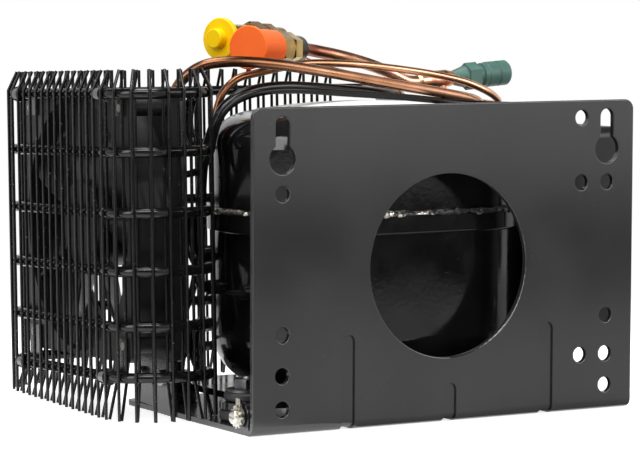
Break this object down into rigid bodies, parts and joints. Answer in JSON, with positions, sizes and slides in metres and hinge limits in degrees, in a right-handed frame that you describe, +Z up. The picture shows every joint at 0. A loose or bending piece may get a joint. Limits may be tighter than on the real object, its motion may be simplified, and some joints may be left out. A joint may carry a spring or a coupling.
{
  "type": "refrigeration condensing unit",
  "caption": "Small refrigeration condensing unit: hermetic compressor on an L bracket, wrap-round wire-on-tube condenser with axial fan, electronics case and capped copper couplings.",
  "frame": {"origin": "centre of the base's underside, between the wall plate's outer face and the base's rear edge", "axes": "+X along the wall plate from the fan end to the electronics end, +Y away from the wall plate, +Z up"},
  "size_m": [0.2539, 0.1943, 0.1781],
  "materials": {
    "black_paint": "satin powder coat",
    "shell_paint": "gloss paint",
    "wire_paint": "gloss dip paint",
    "weld_metal": "as welded, part painted",
    "zinc_steel": "zinc plated",
    "steel": "machined",
    "lamination": "stacked sheet",
    "iron": "as cast",
    "copper": "drawn copper tube",
    "copper_wire": "enamelled copper",
    "brass": "turned brass",
    "black_rubber": "moulded",
    "black_plastic": "moulded",
    "board_green": "solder mask",
    "white_label": "blank film",
    "orange_plastic": "moulded",
    "yellow_plastic": "moulded",
    "green_plastic": "moulded",
    "magnet": "bonded ferrite"
  },
  "bodies": {
    "unit": {"base_bracket": "black_paint", "earth_screw": "zinc_steel", "lower_shell": "shell_paint", "upper_shell": "shell_paint", "seam_weld": "weld_metal", "compressor_label": "white_label", "foot_plates": "shell_paint", "rubber_grommets": "black_rubber", "spacer_sleeves": "zinc_steel", "mounting_studs": "zinc_steel", "foot_washers": "zinc_steel", "foot_nuts": "zinc_steel", "tube_stubs": "copper", "hermetic_terminal": "steel", "motor_stator": "lamination", "motor_windings": "copper_wire", "crankcase": "iron", "cylinder_head": "iron", "stator_bolts": "steel", "suspension_springs": "steel", "electronics_bracket": "zinc_steel", "electronics_housing": "black_plastic", "electronics_cover": "black_plastic", "circuit_board": "board_green", "power_terminals": "brass", "cover_screws": "zinc_steel", "fan_frame": "black_plastic", "fan_bearings": "steel", "fan_stator": "lamination", "fan_bracket": "black_paint", "bracket_screws": "zinc_steel", "fan_screws": "zinc_steel", "fan_lead": "black_plastic", "condenser_tube": "wire_paint", "condenser_wires_outer": "wire_paint", "condenser_wires_inner": "wire_paint", "condenser_clips": "black_paint", "filter_drier": "copper", "condenser_outlet": "copper", "discharge_line": "wire_paint", "liquid_line": "copper", "suction_line": "copper", "suction_branch": "copper", "service_tee": "copper", "service_valve": "brass", "suction_coupling": "brass", "liquid_coupling": "brass"},
    "fan": {"fan_rotor": "black_plastic", "fan_magnet": "magnet", "fan_shaft": "steel"},
    "crank": {"motor_rotor": "lamination", "crankshaft": "steel"},
    "piston_and_rod": {"piston": "steel", "connecting_rod": "steel", "wrist_pin": "steel"},
    "suction_cap_body": {"suction_cap": "orange_plastic"},
    "liquid_cap_body": {"liquid_cap": "yellow_plastic"},
    "service_cap_body": {"service_cap": "green_plastic"},
    "suction_nut_body": {"suction_nut": "brass"},
    "liquid_nut_body": {"liquid_nut": "brass"}
  },
  "joints": [
    {"name": "fan_spin", "type": "hinge", "parent": "unit", "child": "fan", "pos_m": [-0.11285, 0.05784, 0.085], "axis": [0.9981, -0.061, 0], "continuous": true},
    {"name": "crank_spin", "type": "hinge", "parent": "unit", "child": "crank", "pos_m": [-0.018, 0.0095, 0.05], "axis": [0, 0, 1], "continuous": true},
    {"name": "piston_slide", "type": "slide", "parent": "unit", "child": "piston_and_rod", "axis": [1, 0, 0], "range_m": [-0.016, 0]},
    {"name": "suction_cap_pull", "type": "slide", "parent": "unit", "child": "suction_cap_body", "axis": [-0.8654, -0.4996, 0.0384], "range_m": [0, 0.01]},
    {"name": "liquid_cap_pull", "type": "slide", "parent": "unit", "child": "liquid_cap_body", "axis": [-0.9266, -0.3744, 0.0349], "range_m": [0, 0.02]},
    {"name": "service_cap_pull", "type": "slide", "parent": "unit", "child": "service_cap_body", "axis": [0.9974, 0, 0.0715], "range_m": [0, 0.02]},
    {"name": "suction_nut_turn", "type": "hinge", "parent": "unit", "child": "suction_nut_body", "pos_m": [-0.0297, 0.04299, 0.164], "axis": [0.8654, 0.4996, -0.0384], "continuous": true},
    {"name": "liquid_nut_turn", "type": "hinge", "parent": "unit", "child": "liquid_nut_body", "pos_m": [-0.02741, 0.06873, 0.16739], "axis": [0.9266, 0.3744, -0.0349], "continuous": true}
  ]
}
